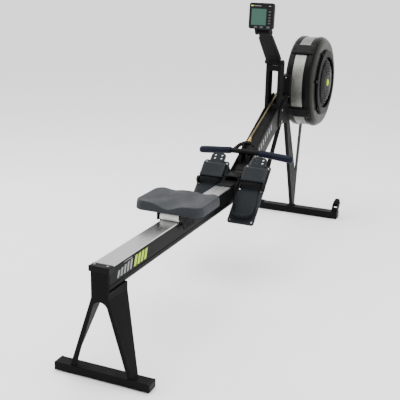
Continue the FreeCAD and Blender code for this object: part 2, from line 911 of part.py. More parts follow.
def casters():
    """The transport wheels on the front bar, each in its own fork."""
    top = dim("frontFootTop")
    radius = dim("casterRadius")
    height = dim("casterHeight")
    x = station(dim("casterPos"))
    forks = []
    wheels = []
    for side, sign in (("left", 1), ("right", -1)):
        y = dim("casterOffset") * sign
        fork = Piece(f"caster_fork_{side}")
        edge = station(dim("frontFootPos"))
        plate = rectangle(edge + 18, y - 17, edge + 54, y + 17)
        fork.pad("XY", top, 5, [plate])
        fork.pad("YZ", edge + 24, 4, [rectangle(y - 15, top, y + 15, top + 24)])
        for start in (y - 17, y + 13):
            cheek = [(edge + 20, top), (edge + 54, top), (x + 9, height - 9), (x + 9, height + 9),
                     (x - 9, height + 12), (edge + 34, top + 36), (edge + 20, top + 10)]
            fork.pad("XZ", -(start + 4), 4, [cheek])
        pin = rod(f"caster_pin_{side}", "Y", 4, 38, x, y - 19, height)
        forks.append(fuse(f"caster_bracket_{side}", fork.body, pin))
        wheel = turned(f"caster_wheel_{side}", [
            (4.05, y - 11.5), (radius - 2, y - 11.5), (radius, y - 9), (radius, y + 9),
            (radius - 2, y + 11.5), (4.05, y + 11.5),
        ], x, height)
        wheels.append(wheel.body)
    return [group("caster_brackets", forks)] + wheels


def seat():
    """The contoured seat, its carriage and the rollers that run on the rail."""
    pos = station(dim("seatPos"))
    deep = dim("seatDepth") / 2
    wide = dim("seatWidth") / 2
    low = dim("seatBottom")
    top = dim("seatTop")
    pad = Piece("seat_pad")
    outline = mirrored([
        (wide * 0.5, pos - deep), (wide * 0.84, pos - deep + 8), (wide * 0.97, pos - deep + 30),
        (wide, pos), (wide * 0.99, pos + deep - 26), (wide * 0.9, pos + deep - 6),
        (wide * 0.5, pos + deep),
    ])
    outline = [(v, u) for u, v in outline]
    pad.pad("XY", low, top - low, [outline])
    dish = [
        (wide * 0.86, top + 1), (wide * 0.6, top - 8), (wide * 0.28, top - 14),
        (wide * 0.14, top - 9), (size(0.5), top - 8),
    ]
    pad.pocket("YZ", pos - deep + 16, deep * 2 - 60, [mirrored(dish)])
    notch = mirrored([(size(46), top + 1), (size(30), top - 14), (size(1), top - 18)])
    pad.pocket("YZ", pos - deep - 1, 50, [notch])

    carriage = Piece("seat_carriage")
    half = dim("carriageHalf")
    crown = dim("trackTop")
    roller = dim("rollerRadius")
    axle = crown + roller + 0.3
    carriage.pad("XY", low - 5, 5, [rectangle(pos - 92, -half, pos + 92, half)])
    for start in (half - 4, -half):
        cheek = [
            (pos - 92, low - 2), (pos - 92, axle - 14), (pos - 70, axle - 16), (pos - 46, 400),
            (pos + 46, 400), (pos + 70, axle - 16), (pos + 92, axle - 14), (pos + 92, low - 2),
        ]
        carriage.pad("XZ", -(size(start) + 4), 4, [cheek])
    for centre in (pos - 72, pos + 72):
        carriage.pad("XZ", -half, half * 2, circles=[((centre, axle), 4)])

    rollers = []
    for side, centre in (("rear", pos - 72), ("front", pos + 72)):
        span = dim("rollerSpan") / 2
        wheel = turned(f"seat_roller_{side}", [
            (4.05, -span), (roller - 1, -span), (roller, -span + 2), (roller, span - 2),
            (roller - 1, span), (4.05, span),
        ], centre, axle)
        rollers.append(wheel.body)
    guides = []
    pins = []
    for side, sign in (("left", 1), ("right", -1)):
        y = (dim("beamHalf") + 6.4) * sign
        guide = rod(f"side_roller_{side}_body", "Z", 6, 16, pos, y, 402)
        eye = rod(f"side_roller_{side}_eye", "Z", 2.05, 20, pos, y, 400)
        guides.append(cut(f"side_roller_{side}", guide, eye))
        arm = half - 4
        low_y, high_y = (y - 3, arm + 1) if sign > 0 else (-arm - 1, y + 3)
        bridge = box(f"side_pin_plate_{side}", pos - 8, pos + 8, low_y, high_y, 419, 422)
        pin = rod(f"side_pin_{side}", "Z", 2, 20, pos, y, 400)
        pins.append(fuse(f"side_pin_join_{side}", bridge, pin))
    frame = fuse("seat_carriage_frame", carriage.body, *pins)
    carriage.body.Label = "seat_carriage_plates"
    frame.Label = "seat_carriage"
    return [pad.body, frame] + rollers + guides


def bent_rod(label, side, radius, start, length):
    """Make a round bar in line with one drooping grip of the handle."""
    sign = 1 if side == "left" else -1
    item = DOC.addObject("Part::Cylinder", label)
    item.Label = label
    bind(item, "Radius", radius)
    bind(item, "Height", length)
    drop = DIMENSIONS["gripDrop"]
    fall = math.tan(math.radians(drop)) * (start - 73)
    place(item, station(dim("handlePos")), start * sign, dim("handleHeight") - fall, (1, 0, 0),
          -sign * (90 + drop))
    return item


def handle():
    """The handle: a ribbed core, two grips, the swivel and the chain."""
    x = station(dim("handlePos"))
    z = dim("handleHeight")
    length = dim("handleWidth") / 2 - 73
    tilt = -DIMENSIONS["handleTilt"]
    centre = Piece("handle_centre")
    centre.pad("XZ", -74, 148, circles=[((0, 0), 13)])
    outer = [(0, 74), (44, 46), (62, 17), (62, -17), (44, -46), (0, -74)]
    arch = outer + [(0, -58), (36, -36), (49, -12), (49, 12), (36, 36), (0, 58)]
    centre.pad("XY", -7, 14, [arch])
    for y in (-22, 22):
        centre.pad("XY", -5, 10, [rectangle(4, y - 4, 52, y + 4)])
    place(centre.body, x, 0, z, (0, 1, 0), tilt)
    tangs = [bent_rod(f"tang_{side}", side, 9, 68, length - 8) for side in ("left", "right")]
    core = fuse("handle_core", centre.body, *tangs)

    grips = []
    for side in ("left", "right"):
        bar = bent_rod(f"grip_{side}_bar", side, dim("gripRadius"), 75.5, length - 2.5)
        eye = bent_rod(f"grip_{side}_eye", side, 9.05, 66, length)
        tube = cut(f"grip_{side}_tube", bar, eye)
        DOC.recompute()
        far = max(abs(v.Y) for v in tube.Shape.Vertexes) - 4
        grips.append(bevel(f"grip_{side}", tube, 6, lambda e: abs(e.CenterOfMass.y) > far))

    swivel = Piece("chain_swivel")
    swivel.revolve("XZ", [[
        (62, 0), (62, 9), (70, 10), (76, 7), (90, 6), (96, 3.5), (96, 0),
    ]], "H_Axis")
    place(swivel.body, x, 0, z, (0, 1, 0), tilt)

    chain = Piece("drive_chain")
    slope = math.radians(-tilt)
    tall = 3
    rise = (-math.sin(slope) * tall, math.cos(slope) * tall)
    start_x = station(dim("handlePos")) + 96 * math.cos(slope)
    start_z = z + 96 * math.sin(slope)
    run = [(station(1880), size(775)), (station(2184), dim("wheelTop") + 34.5)]
    upper = [(start_x + rise[0], start_z + rise[1])] + [(px, pz + tall) for px, pz in run]
    lower = [(px, pz - tall) for px, pz in reversed(run)] + [(start_x - rise[0], start_z - rise[1])]
    chain.pad("XZ", -3.5, 7, [upper + lower])
    return [core, group("handle_grips", grips), swivel.body, chain.body]


def tilt_board(item, side):
    """Lay a footrest piece on the sloping plane of its footboard."""
    sign = 1 if side == "left" else -1
    place(item, station(dim("boardPos")), dim("boardOffset") * sign, dim("boardHeight"),
          (0, 1, 0), -DIMENSIONS["boardAngle"])


def footrests():
    """Footboards with toe housings, sliding heel cups, straps and buckles."""
    out = []
    straps = []
    buckles = []
    length = dim("boardLength")
    wide = dim("boardWidth") / 2
    thick = dim("boardThick")
    for side, sign in (("left", 1), ("right", -1)):
        board = Piece(f"footboard_{side}")
        board.pad("XY", -thick, thick, [rectangle(0, -wide, length, wide)])
        board.smooth("Fillet", 12, along("Z"))
        frame_gap = dim("boardOffset") - dim("frameHalf")
        inner = -frame_gap * sign
        low, high = (inner, inner + 4) if sign > 0 else (inner - 4, inner)
        flange = [(150, -thick), (length - 20, -thick), (length - 30, -46), (190, -46)]
        board.pad("XZ", -high, high - low, [flange])
        for start in (-58, 53):
            board.pad("XY", 0, 22, [rectangle(222, start, 302, start + 5)])
        roof = [(222, 10), (302, 10), (302, 18), (296, 23), (288, 25), (232, 25), (222, 22)]
        board.pad("XZ", -58, 116, [roof])
        board.smooth("Fillet", 3, lambda e: along("X")(e) and e.Vertexes[0].Z > 24.9)
        tilt_board(board.body, side)
        out.append(board.body)

        cup = Piece(f"heel_cup_{side}")
        edge = [
            (28, 16), (31, 33), (42, 46), (64, 51), (100, 51), (140, 47), (170, 41), (200, 34),
            (235, 32),
            (300, 34), (322, 37), (352, 37), (362, 31), (367, 18),
        ]
        holes = [((353, -17), 5), ((353, 17), 5), ((335, -17), 5), ((335, 17), 5)]
        cup.pad("XY", 1, 6, [edge + [(u, -v) for u, v in reversed(edge)]], holes)
        rim = [
            (28, 16), (31, 33), (42, 46), (64, 51), (88, 51), (88, 46), (65, 46), (46, 42),
            (36, 31), (34, 14),
        ]
        cup.pad("XY", 6, 26, [rim + [(u, -v) for u, v in reversed(rim)]])
        tilt_board(cup.body, side)
        out.append(cup.body)

        strap = Piece(f"strap_{side}_band")
        over = mirrored([
            (size(20), 29), (44, 24), (55, 12), (55, 0.2), (52.5, 0.2), (52.5, 11), (42, 21.5),
            (19, 26.5),
        ])
        strap.pad("YZ", 187, 28, [over])
        tilt_board(strap.body, side)
        straps.append(strap.body)

        buckle = Piece(f"buckle_{side}")
        out_y = 57 * sign
        low, high = (out_y, out_y + 6) if sign > 0 else (out_y - 6, out_y)
        buckle.pad("XY", 0.2, 22, [rectangle(184, low, 217, high)])
        tilt_board(buckle.body, side)
        buckles.append(buckle.body)
    out.append(group("foot_straps", straps))
    out.append(group("strap_buckles", buckles))
    return out


def monitor_arm():
    """The arm that carries the monitor, its hinge barrel and the pivot knobs."""
    pos = station(dim("postPos") + 14)
    pivot = dim("armPivotTop")
    reach = dim("armLength")
    half = dim("armHalf")
    thick = dim("armThick") / 2
    arm = Piece("monitor_arm")
    neck = dim("postHalf") - dim("postSide") - 1.5
    arm.pad("XZ", -neck, neck * 2, circles=[((0, 0), 15)])
    web = [(neck, 6), (neck, 18), (half, 24), (half, 60), (half - 4, reach - 44),
           (28, reach - 24), (28, reach - 10)]
    arm.pad("YZ", -thick, thick * 2, [mirrored(web)])
    arm.pad("XZ", -30, 60, circles=[((0, reach), 14)])
    arm.pad("XZ", -44, 88, circles=[((0, reach), 6)])
    arm.pocket("XZ", -neck - 1, neck * 2 + 2, circles=[((0, 0), 6.05)])
    place(arm.body, pos, 0, pivot, (0, 1, 0), DIMENSIONS["armAngle"])

    half_post = dim("postHalf")
    knobs = []
    shaft = rod("pivot_shaft", "Y", 6, half_post * 2 - 34 - 0.4, pos, -half_post + 17.2, pivot)
    knobs.append(shaft)
    for side, start in (("left", half_post), ("right", -half_post - 10)):
        knobs.append(rod(f"pivot_knob_{side}", "Y", 11, 10, pos, start, pivot))
    return [arm.body, group("arm_pivot", knobs)]


def on_monitor(item):
    """Lay a monitor piece on the tilted plane of the display."""
    place(item, station(dim("monitorPos")), 0, dim("monitorHeight"), (0, 1, 0),
          DIMENSIONS["monitorTilt"])


def oval(y, z, half, tall):
    """Return an eight-sided oval round a point."""
    trim = tall * 0.5
    side = [(half - trim, -tall), (half, -tall + trim), (half, tall - trim), (half - trim, tall)]
    return [(y + u, z + v) for u, v in side] + [(y - u, z + v) for u, v in reversed(side)]


def monitor():
    """The monitor: front and back cases, screen and the push buttons."""
    half = dim("monitorHalf")
    rise = dim("monitorRise")
    front = Piece("monitor_front_case")
    front.pad("YZ", -19, 12, [rectangle(-half, -rise, half, rise)])
    front.smooth("Fillet", 11, along("X"))
    front.smooth("Fillet", 2.5, at_height("X", -19))
    lcd = rectangle(-27, -44, 51, 35)
    front.pocket("YZ", -20, 4, [lcd])
    keys = [(-44, row, 5.5, 3.4) for row in (21, 6, -8, -21, -34)]
    keys += [(column, -53, 8.5, 4.6) for column in (25, -5, -40)]
    wells = [oval(y, z, wide + 0.4, tall + 0.4) for y, z, wide, tall in keys]
    front.pocket("YZ", -20, 8, wells)
    on_monitor(front.body)

    back = Piece("monitor_back_case")
    back.pad("YZ", -7, 20, [rectangle(-half, -rise, half, rise)])
    back.smooth("Fillet", 11, along("X"))
    back.smooth("Fillet", 10, at_height("X", 13))
    lug = [(6, -54), (6, -34), (12, -30), (42, -62), (52, -76), (50, -88), (42, -92), (31, -89),
           (24, -80)]
    for start in (-42, 32):
        back.pad("XZ", -(size(start) + 10), 10, [lug])
    pin = math.radians(DIMENSIONS["armAngle"])
    tilt = math.radians(DIMENSIONS["monitorTilt"])
    across = (dim("postPos") + 14 + dim("armLength") * math.sin(pin)) - dim("monitorPos")
    up = (dim("armPivotTop") + dim("armLength") * math.cos(pin)) - dim("monitorHeight")
    eye = (across * math.cos(tilt) - up * math.sin(tilt), across * math.sin(tilt)
           + up * math.cos(tilt))
    back.pocket("XZ", -45, 90, circles=[(eye, 6.1)])
    on_monitor(back.body)

    screen = Piece("monitor_screen")
    screen.pad("YZ", -18, 2, [rectangle(-26.7, -43.7, 50.7, 34.7)])
    on_monitor(screen.body)

    buttons = []
    for index, (y, z, wide, tall) in enumerate(keys, start=1):
        name = f"side_button_{index}" if index <= 5 else f"menu_button_{index - 5}"
        button = Piece(name)
        button.pad("YZ", -20.6, 5.8, [oval(y, z, wide, tall)])
        button.smooth("Fillet", 0.8, at_height("X", -20.6))
        on_monitor(button.body)
        buttons.append(button.body)
    return [front.body, back.body, screen.body] + buttons


def frame_bolts():
    """Hexagon-headed bolts that hold the legs, frame and flywheel head together."""
    bolts = []
    front_top = dim("frontFootTop") + 5
    spots = [
        ("front_right", "Z", station(2236), 7, front_top),
        ("front_left", "Z", station(2240), 179, front_top),
    ]
    for name, axis, x, y, z in spots:
        bolts.append(hexagon(f"bolt_{name}", axis, 6, 5, x, y, z))
    half = dim("frameHalf")
    sides = [
        ("rail_rear_left", 1192, half, 362), ("rail_rear_right", 1192, -half - 5, 362),
        ("rail_front_left", 1272, half, 364), ("rail_front_right", 1272, -half - 5, 364),
        ("post_left", 1815, half, 690), ("post_right", 1815, -half - 14.5, 696),
        ("leg_right", 1821, -half - 11.6, 634),
    ]
    for name, x, start, z in sides:
        bolts.append(hexagon(f"bolt_{name}", "Y", 7, 5, station(x), start, z))
    for name, y, z in (("high", -33.5, 856), ("low", -48.5, 756)):
        bolts.append(rod(f"bolt_head_{name}", "X", 4, 2.5, station(dim("headStart")) - 26.5, y, z))
    return [group("frame_bolts", bolts)]


def build():
    """Make every sub-part and return those that are written out."""
    fill_sheet()
    makers = (
        floor_bars, rear_leg, monorail, panel_screws, main_frame, front_rail_cover,
        post_and_liner, flywheel_head, drum, drum_straps, flywheel, intake, front_legs, casters,
        seat, handle, footrests, monitor_arm, monitor, frame_bolts,
    )
    pieces = []
    for maker in makers:
        pieces.extend(maker())
    DOC.recompute()
    return pieces


def check(pieces):
    """Stop if anything failed to build."""
    for item in DOC.Objects:
        if "Invalid" in item.State or "Error" in item.State:
            raise ValueError(f"{item.Name} failed: {item.State}")
    for item in pieces:
        if item.Shape.isNull() or not item.Shape.isValid() or item.Shape.Volume <= 0:
            raise ValueError(f"{item.Label} has no valid solid")


def export(pieces):
    """Write each sub-part to its own STEP file."""
    os.makedirs("parts", exist_ok=True)
    for item in pieces:
        item.Shape.exportStep(f"parts/{item.Label}.step")


PIECES = build()
check(PIECES)
export(PIECES)
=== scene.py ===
"""Looks of the rowing machine: materials, soft and detailed pieces, light, floor and camera."""

import math

import bmesh
import bpy
from mathutils import Matrix, Vector


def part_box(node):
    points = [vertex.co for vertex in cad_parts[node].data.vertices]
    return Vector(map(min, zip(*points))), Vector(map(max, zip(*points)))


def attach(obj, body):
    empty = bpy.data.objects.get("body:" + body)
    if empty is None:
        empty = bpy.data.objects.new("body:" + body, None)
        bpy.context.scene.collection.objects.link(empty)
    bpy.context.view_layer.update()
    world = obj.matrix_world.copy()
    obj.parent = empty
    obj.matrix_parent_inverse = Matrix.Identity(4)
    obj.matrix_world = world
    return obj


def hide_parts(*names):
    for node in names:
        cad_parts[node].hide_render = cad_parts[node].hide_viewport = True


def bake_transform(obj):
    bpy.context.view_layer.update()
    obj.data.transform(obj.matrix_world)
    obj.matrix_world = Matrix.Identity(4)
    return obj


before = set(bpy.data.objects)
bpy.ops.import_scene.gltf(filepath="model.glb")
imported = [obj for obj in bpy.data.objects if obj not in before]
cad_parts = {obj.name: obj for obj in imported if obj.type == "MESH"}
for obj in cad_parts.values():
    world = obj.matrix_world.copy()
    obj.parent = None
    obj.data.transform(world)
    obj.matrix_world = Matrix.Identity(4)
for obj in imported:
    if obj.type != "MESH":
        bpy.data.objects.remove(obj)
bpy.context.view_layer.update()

# ---------------------------------------------------------------------------------------
# Shared numbers, in metres and degrees. Stations are measured forward from the rear foot.

LENGTH = 2.438
DRUM_STATION = 2.188
DRUM_HEIGHT = 0.807
DRUM_RADIUS = 0.246
BAND_LEFT = -0.0580
BAND_RIGHT = -0.1115
LIP_EDGE = -0.1140
HOLE_PITCH_ROUND = 0.0042
HOLE_PITCH_ACROSS = 0.0036
BOARD_STATION = 1.078
BOARD_SIDE = 0.1065
BOARD_HEIGHT = 0.288
BOARD_LEAN = 43.7
CHAIN_PITCH = 0.00635
YARN_PITCH = 0.0018
WEAR_RADIUS = 0.0015
SIDES = (("left", 1), ("right", -1))


def station(value):
    """X of a point that lies this far forward of the rear foot."""
    return value - LENGTH / 2


# ---------------------------------------------------------------------------------------
# Material helpers


class Paint:
    """A principled material with a few procedural layers."""

    def __init__(self, name, color, rough=0.5, metal=0.0, **sockets):
        self.mat = bpy.data.materials.new(name)
        self.mat.use_nodes = True
        self.tree = self.mat.node_tree
        self.shader = self.tree.nodes["Principled BSDF"]
        self.set("Base Color", (*color, 1.0))
        self.set("Roughness", rough)
        self.set("Metallic", metal)
        for key, value in sockets.items():
            self.set(key.replace("_", " "), value)
        self.coords = self.tree.nodes.new("ShaderNodeTexCoord").outputs["Object"]
        self.color = color
        self.height = None

    def set(self, socket, value):
        """Set a socket of the shader to a constant."""
        self.shader.inputs[socket].default_value = value

    def node(self, kind, **settings):
        """Add a node and set its properties."""
        item = self.tree.nodes.new(kind)
        for key, value in settings.items():
            setattr(item, key, value)
        return item

    def link(self, out, into):
        """Join two sockets."""
        self.tree.links.new(out, into)

    def math(self, operation, first, second=None):
        """Add a maths node fed by sockets or numbers."""
        item = self.node("ShaderNodeMath", operation=operation)
        for index, value in enumerate((first, second)):
            if value is None:
                continue
            if isinstance(value, (int, float)):
                item.inputs[index].default_value = value
            else:
                self.link(value, item.inputs[index])
        return item.outputs[0]

    def product(self, first, *others):
        """Multiply several values."""
        for other in others:
            first = self.math("MULTIPLY", first, other)
        return first

    def distance(self, first, second):
        """Return the length of the diagonal of two sides."""
        return self.math("SQRT", self.math("ADD", self.product(first, first),
                                           self.product(second, second)))

    def axes(self):
        """Split the object coordinates into x, y and z."""
        item = self.node("ShaderNodeSeparateXYZ")
        self.link(self.coords, item.inputs[0])
        return item.outputs

    def from_drum_axis(self):
        """Return how far a point is forward of the drum's axis, and how far above it."""
        x, _, z = self.axes()
        return (self.math("SUBTRACT", x, station(DRUM_STATION)),
                self.math("SUBTRACT", z, DRUM_HEIGHT))

    def stretch(self, scale):
        """Return object coordinates scaled along each axis."""
        item = self.node("ShaderNodeMapping")
        item.inputs["Scale"].default_value = scale
        self.link(self.coords, item.inputs["Vector"])
        return item.outputs[0]

    def noise(self, scale, detail=3.0, vector=None):
        """Return a noise value between about 0.3 and 0.7."""
        item = self.node("ShaderNodeTexNoise")
        item.inputs["Scale"].default_value = scale
        item.inputs["Detail"].default_value = detail
        self.link(vector or self.coords, item.inputs["Vector"])
        return item.outputs["Fac"]

    def span(self, value, low, high, out_low=0.0, out_high=1.0):
        """Map a value from one range to another, clamped."""
        item = self.node("ShaderNodeMapRange")
        for index, number in enumerate((low, high, out_low, out_high), start=1):
            item.inputs[index].default_value = number
        self.link(value, item.inputs[0])
        return item.outputs[0]

    def blend(self, factor, first, second):
        """Mix two colours, each a tuple or a socket."""
        item = self.node("ShaderNodeMix", data_type="RGBA")
        if isinstance(factor, (int, float)):
            item.inputs["Factor"].default_value = factor
        else:
            self.link(factor, item.inputs["Factor"])
        for key, value in (("A", first), ("B", second)):
            socket = [s for s in item.inputs if s.name == key and s.type == "RGBA"][0]
            if isinstance(value, tuple):
                socket.default_value = (*value, 1.0)
            else:
                self.link(value, socket)
        return [s for s in item.outputs if s.type == "RGBA"][0]

    def tint(self, spread, scale):
        """Vary the base colour gently over the surface."""
        low = tuple(c * (1 - spread) for c in self.color)
        high = tuple(min(1.0, c * (1 + spread)) for c in self.color)
        factor = self.span(self.noise(scale, 4), 0.3, 0.7)
        self.link(self.blend(factor, low, high), self.shader.inputs["Base Color"])

    def wear(self, color, amount):
        """Lighten the edges, where handling polishes or chips the finish."""
        bevel = self.node("ShaderNodeBevel", samples=4)
        bevel.inputs["Radius"].default_value = WEAR_RADIUS
        geometry = self.node("ShaderNodeNewGeometry")
        dot = self.node("ShaderNodeVectorMath", operation="DOT_PRODUCT")
        self.link(bevel.outputs[0], dot.inputs[0])
        self.link(geometry.outputs["Normal"], dot.inputs[1])
        edge = self.span(dot.outputs["Value"], 0.97, 0.80)
        factor = self.product(edge, self.span(self.noise(60, 4), 0.4, 0.62), amount)
        socket = self.shader.inputs["Base Color"]
        before = socket.links[0].from_socket if socket.links else tuple(self.color)
        self.link(self.blend(factor, before, color), socket)

    def rough_range(self, low, high, scale, vector=None):
        """Vary the roughness between two values."""
        out = self.span(self.noise(scale, 4, vector), 0.3, 0.7, low, high)
        self.link(out, self.shader.inputs["Roughness"])

    def bump(self, value, distance, strength=1.0):
        """Add a height to the surface relief."""
        item = self.node("ShaderNodeBump")
        item.inputs["Distance"].default_value = distance
        item.inputs["Strength"].default_value = strength
        self.link(value, item.inputs["Height"])
        if self.height is not None:
            self.link(self.height, item.inputs["Normal"])
        self.height = item.outputs[0]
        self.link(self.height, self.shader.inputs["Normal"])

    def soften(self, radius):
        """Catch light along sharp edges as if they were slightly rounded."""
        item = self.node("ShaderNodeBevel", samples=6)
        item.inputs["Radius"].default_value = radius
        if self.height is not None:
            self.link(self.height, item.inputs["Normal"])
        self.height = item.outputs[0]
        self.link(self.height, self.shader.inputs["Normal"])


def powder(name, color, rough, radius=0.0015):
    """Powder-coated steel: orange peel, uneven sheen and slightly worn edges."""
    paint = Paint(name, color, rough, Specular_IOR_Level=0.03)
    paint.tint(0.12, 8)
    paint.wear((0.07, 0.07, 0.072), 0.5)
    paint.rough_range(rough - 0.07, rough + 0.08, 40)
    paint.soften(radius)
    paint.bump(paint.noise(900, 2), 0.00012, 0.6)
    return paint.mat


def moulded(name, color, rough, grain=1400, depth=0.00012, level=0.07):
    """Moulded plastic with a fine spark-eroded texture."""
    paint = Paint(name, color, rough, Specular_IOR_Level=level)
    paint.tint(0.1, 12)
    paint.wear(tuple(min(1.0, c * 2.0 + 0.012) for c in color), 0.45)
    paint.rough_range(rough - 0.06, rough + 0.08, 25)
    paint.soften(0.0015)
    paint.bump(paint.noise(grain, 2), depth, 0.7)
    return paint.mat


def brushed(name, color, along, rough):
    """Brushed metal with the grain along one axis of the machine."""
    paint = Paint(name, color, rough, 1.0)
    scale = [900.0] * 3
    scale["XYZ".index(along)] = 6.0
    grain = paint.stretch(tuple(scale))
    out = paint.span(paint.noise(1.0, 3, grain), 0.25, 0.75)
    low = tuple(c * 0.86 for c in color)
    paint.link(paint.blend(out, low, color), paint.shader.inputs["Base Color"])
    paint.rough_range(rough - 0.08, rough + 0.1, 1.0, grain)
    paint.soften(0.001)
    paint.bump(paint.noise(1.0, 3, grain), 0.00008, 0.5)
    return paint.mat


def wear_material(node, mat):
    """Give a CAD node's object one material."""
    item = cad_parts[node]
    item.data.materials.clear()
    item.data.materials.append(mat)


def dress_frame():
    """Materials of the carried-over metal and plastic parts."""
    black = powder("powder_black", (0.0050, 0.0050, 0.0051), 0.45)
    plastic = moulded("plastic_black", (0.0026, 0.0026, 0.0026), 0.46)
    grille = moulded("grille_black", (0.0012, 0.0012, 0.0012), 0.3, level=0.025)
    case = moulded("case_black", (0.0065, 0.0065, 0.0065), 0.5)
    slate = moulded("plastic_slate", (0.0085, 0.0105, 0.0125), 0.5)
    rubber = moulded("rubber_black", (0.008, 0.008, 0.008), 0.8, 600, 0.0003)
    zinc = brushed("zinc_bolts", (0.26, 0.26, 0.25), "Z", 0.34)
    bright = brushed("bright_screws", (0.26, 0.26, 0.255), "Z", 0.3)
    white = moulded("roller_white", (0.72, 0.72, 0.70), 0.35)
    lime = moulded("hub_lime", (0.34, 0.50, 0.003), 0.35)
    keys = moulded("key_grey", (0.055, 0.058, 0.062), 0.55)
    groups = (
        (black, "rear_leg front_leg_left front_leg_right monitor_post flywheel_head "
                "caster_brackets monitor_arm rear_foot_bar front_foot_bar"),
        (powder("carriage_black", (0.002, 0.002, 0.002), 0.5, 0.0005), "seat_carriage"),
        (plastic, "foot_end_caps rail_end_cap front_rail_cover channel_liner band_straps "
                  "arm_pivot strap_buckles handle_core flywheel_fan"),
        (grille, "intake_grille damper_ring"),
        (case, "monitor_front_case monitor_back_case"),
        (slate, "heel_cup_left heel_cup_right"),
        (rubber, "foot_pads caster_wheel_left caster_wheel_right"),
        (white, "seat_roller_front seat_roller_rear side_roller_left side_roller_right"),
        (zinc, "frame_bolts flywheel_axle chain_sprocket axle_bearings"),
        (bright, "panel_screws"),
        (lime, "hub_cap"),
        (keys, "side_button_1 side_button_2 side_button_3 side_button_4 side_button_5 "
               "menu_button_1 menu_button_2 menu_button_3"),
        (shell_finish(), "flywheel_shell_left flywheel_shell_right"),
        (brushed("stainless", (0.42, 0.42, 0.415), "X", 0.26), "seat_track"),
        (brushed("brass", (0.40, 0.23, 0.07), "Y", 0.3), "chain_swivel"),
        (beam_finish(), "monorail_beam"),
        (frame_finish(), "main_frame"),
        (band_finish(), "flywheel_band"),
        (board_finish(), "footboard_left footboard_right"),
        (screen_finish(), "monitor_screen"),
    )
    for mat, nodes in groups:
        for node in nodes.split():
            wear_material(node, mat)


def shell_finish():
    """Moulded black with faint polishing swirls, and an olive-grey ring on the right face that is
    a painted reflection of the room.
    """
    paint = Paint("shell_black", (0.002, 0.002, 0.002), 0.3, 0.0, Specular_IOR_Level=0.07)
    paint.tint(0.2, 10)
    paint.wear((0.06, 0.06, 0.06), 0.35)
    reach = paint.distance(*paint.from_drum_axis())
    _, y, _ = paint.axes()
    # Painted reflection: the olive-grey ring on the right face stands in for the room mirrored in
    # the satin face.
    face = paint.product(paint.span(y, -0.155, -0.163), paint.span(reach, 0.160, 0.185))
    base = paint.shader.inputs["Base Color"]
    paint.link(paint.blend(face, base.links[0].from_socket, (0.020, 0.0193, 0.0165)), base)
    paint.rough_range(0.25, 0.37, 18)
    paint.soften(0.002)
    paint.bump(paint.noise(260, 3), 0.00006, 0.5)
    return paint.mat


def beam_finish():
    """Dark anodised beam with a grain along its length, coloured black below a level line as
    painted shade on its underside.
    """
    paint = Paint("beam_anodised", (0.004, 0.004, 0.0042), 0.42, 0.0, Specular_IOR_Level=0.04)
    _, _, z = paint.axes()
    painted_shade_cut = paint.span(z, 0.3715, 0.3725)
    grain = paint.stretch((6.0, 700.0, 700.0))
    streak = paint.span(paint.noise(1.0, 3, grain), 0.3, 0.7)
    upper = paint.blend(streak, (0.0028, 0.0029, 0.0031), (0.0052, 0.0053, 0.0056))
    # Painted shade: below the line the beam is coloured black, for the shade on its underside.
    out = paint.blend(painted_shade_cut, (0.0012, 0.0012, 0.0012), upper)
    paint.link(out, paint.shader.inputs["Base Color"])
    paint.rough_range(0.36, 0.5, 1.0, grain)
    paint.soften(0.001)
    paint.bump(paint.noise(1.0, 3, grain), 0.00006, 0.5)
    return paint.mat


def frame_finish():
    """Dark olive-grey satin paint on the frame, rubbed a little along its edges."""
    paint = Paint("frame_paint", (0.0075, 0.0075, 0.0068), 0.44, 0.0, Specular_IOR_Level=0.09)
    paint.tint(0.14, 5)
    paint.wear((0.04, 0.04, 0.037), 0.55)
    paint.rough_range(0.38, 0.52, 30)
    paint.soften(0.0015)
    paint.bump(paint.noise(1000, 2), 0.0001, 0.5)
    return paint.mat


def band_finish():
    """Perforated brushed steel round the drum, with the right shell's black lip over its edge."""
    paint = Paint("band_perforated", (0.3, 0.3, 0.29), 0.36, Specular_IOR_Level=0.07)
    forward, up = paint.from_drum_axis()
    _, y, _ = paint.axes()
    turn = paint.math("ARCTAN2", up, forward)
    round_way = paint.product(turn, DRUM_RADIUS / HOLE_PITCH_ROUND)
    side_way = paint.product(y, 1 / HOLE_PITCH_ACROSS)
    row = paint.math("FLOOR", side_way)
    odd = paint.product(paint.math("FLOORED_MODULO", row, 2.0), 0.5)
    u = paint.math("SUBTRACT", paint.math("FRACT", paint.math("ADD", round_way, odd)), 0.5)
    v = paint.math("SUBTRACT", paint.math("FRACT", side_way), 0.5)
    solid = paint.span(paint.distance(u, v), 0.22, 0.3)
    pierced = paint.product(paint.span(y, BAND_LEFT, BAND_LEFT - 0.0015),
                            paint.span(y, BAND_RIGHT, BAND_RIGHT + 0.0015))
    solid = paint.math("MAXIMUM", solid, paint.math("SUBTRACT", 1.0, pierced))
    streak = paint.span(paint.noise(1.0, 3, paint.stretch((40.0, 900.0, 40.0))), 0.3, 0.7)
    metal = paint.blend(streak, (0.15, 0.15, 0.137), (0.27, 0.27, 0.25))
    # The holes are dark dots: partly the black inside of the drum seen through them, partly
    # painted shade of that inside.
    out = paint.blend(solid, (0.03, 0.03, 0.03), metal)
    bare = paint.span(y, LIP_EDGE - 0.0005, LIP_EDGE + 0.0005)
    out = paint.blend(bare, (0.002, 0.002, 0.002), out)
    paint.link(out, paint.shader.inputs["Base Color"])
    paint.link(bare, paint.shader.inputs["Metallic"])
    paint.rough_range(0.3, 0.42, 60)
    paint.bump(solid, 0.0005, 0.8)
    return paint.mat


